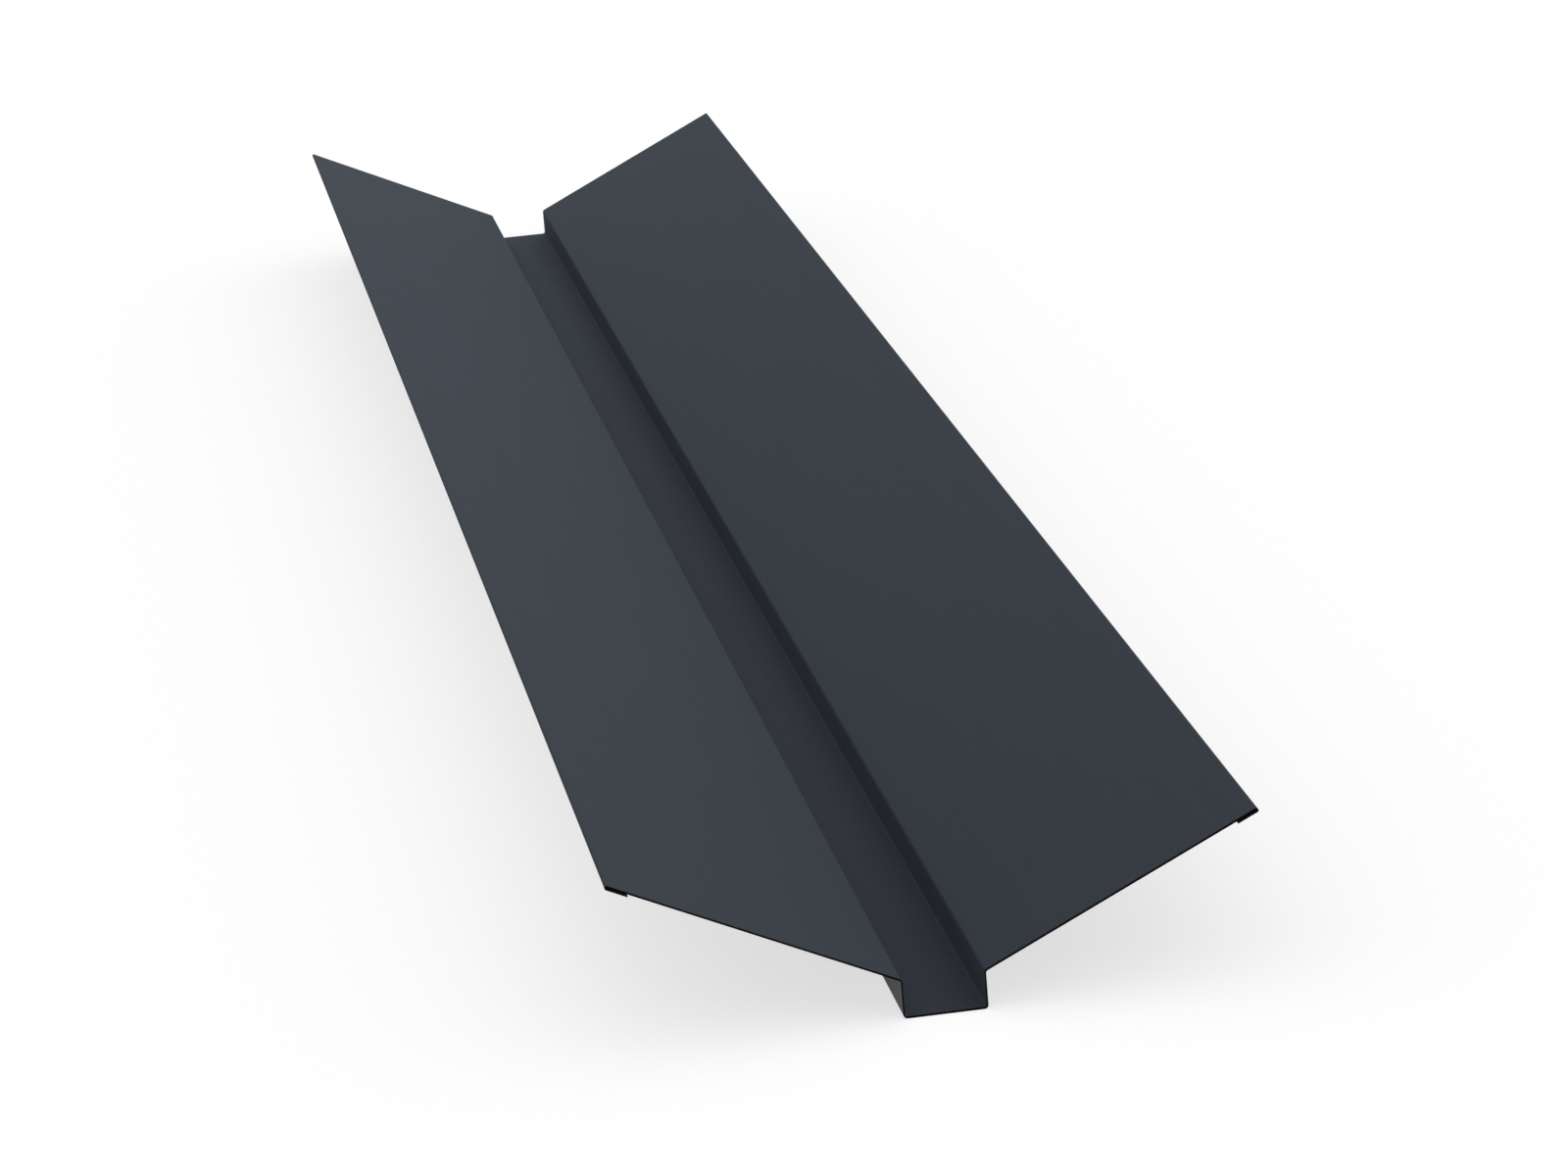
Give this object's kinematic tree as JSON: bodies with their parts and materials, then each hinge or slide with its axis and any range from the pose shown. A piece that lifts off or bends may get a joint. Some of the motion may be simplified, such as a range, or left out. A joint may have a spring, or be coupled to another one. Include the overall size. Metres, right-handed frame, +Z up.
{
  "type": "valley flashing",
  "caption": "Roof valley flashing folded from coated steel sheet: sloping wings with hemmed edges rise either side of a square water channel that carries rain off the roof.",
  "frame": {"origin": "under the channel floor, at mid-length and on the mid-plane between the wings", "axes": "+Y along the length of the strip, +Z up out of the valley, +X across towards the right wing"},
  "size_m": [0.2392, 1.5, 0.0633],
  "materials": {
    "coated_steel": "matte"
  },
  "bodies": {
    "root": {"valley_flashing": "coated_steel"}
  },
  "joints": []
}
